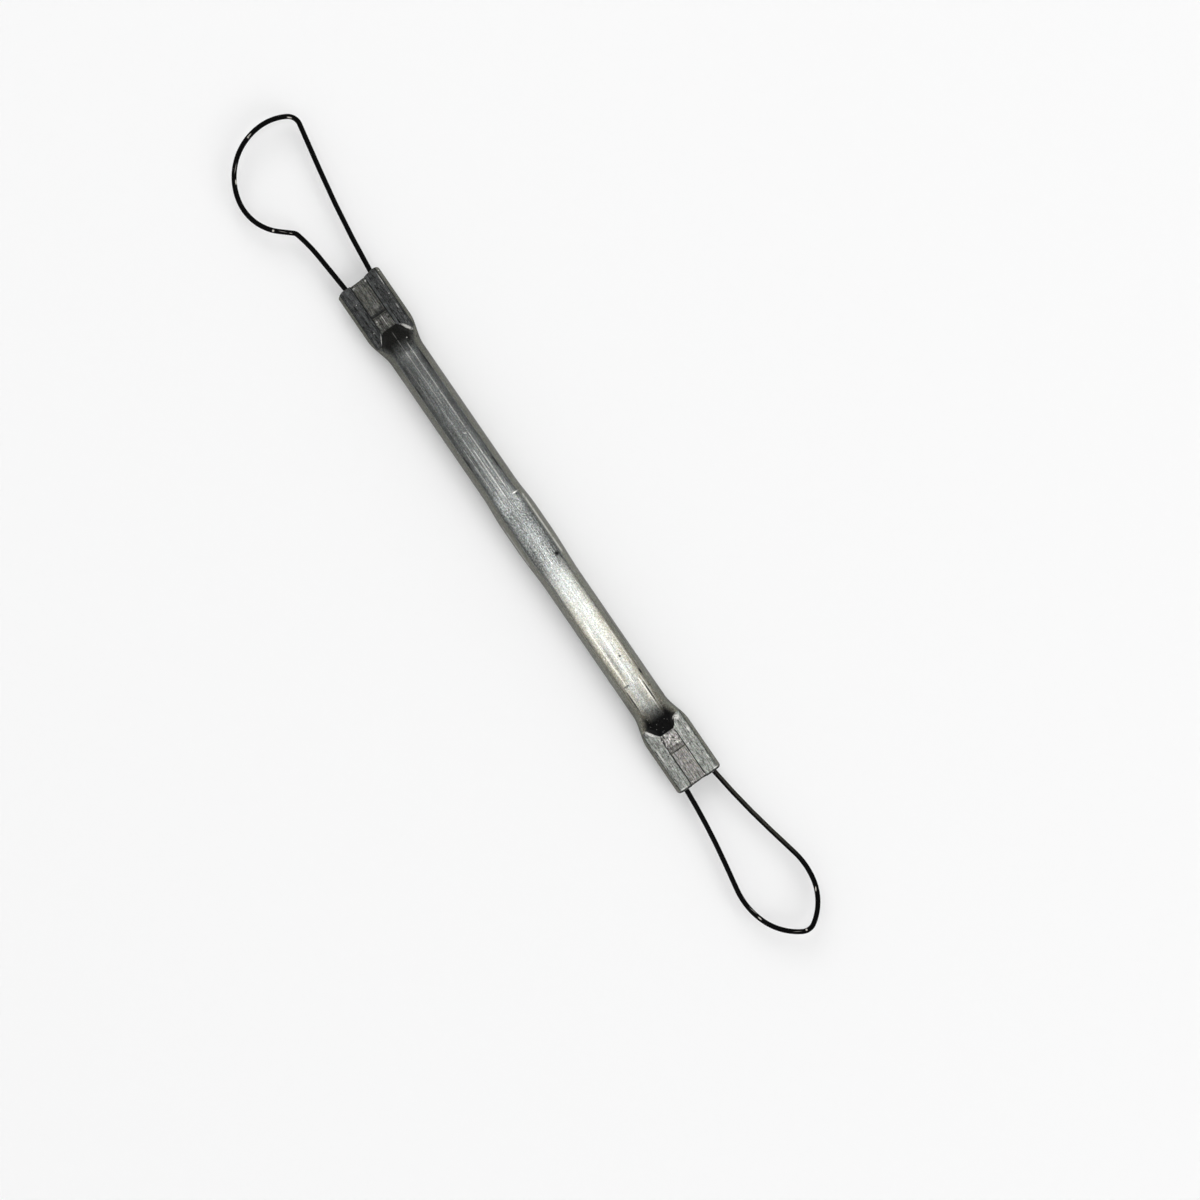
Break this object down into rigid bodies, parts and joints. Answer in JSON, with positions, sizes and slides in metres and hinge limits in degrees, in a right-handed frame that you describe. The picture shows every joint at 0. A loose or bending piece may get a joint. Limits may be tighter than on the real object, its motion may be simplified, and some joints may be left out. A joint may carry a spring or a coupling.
{
  "type": "mirette tool",
  "caption": "Double-ended clay loop tool: a tube handle, flattened and crimped at each end over a bent wire loop, one straight-sided and one pear-shaped.",
  "frame": {"origin": "on the axis of the handle tube, midway between its two end faces", "axes": "+X along the handle towards the pear-shaped loop, +Z square to the flat of the loops, out of the crimped side, +Y towards the straight side of the square-ended loop"},
  "size_m": [0.1855, 0.019, 0.008],
  "materials": {
    "tube_aluminium": "worn drawn mill finish, pressed bare at the crimps",
    "loop_wire": "blackened spring wire, slightly glossy"
  },
  "bodies": {
    "root": {"handle_tube": "tube_aluminium", "square_end_loop": "loop_wire", "pear_loop": "loop_wire"}
  },
  "joints": []
}
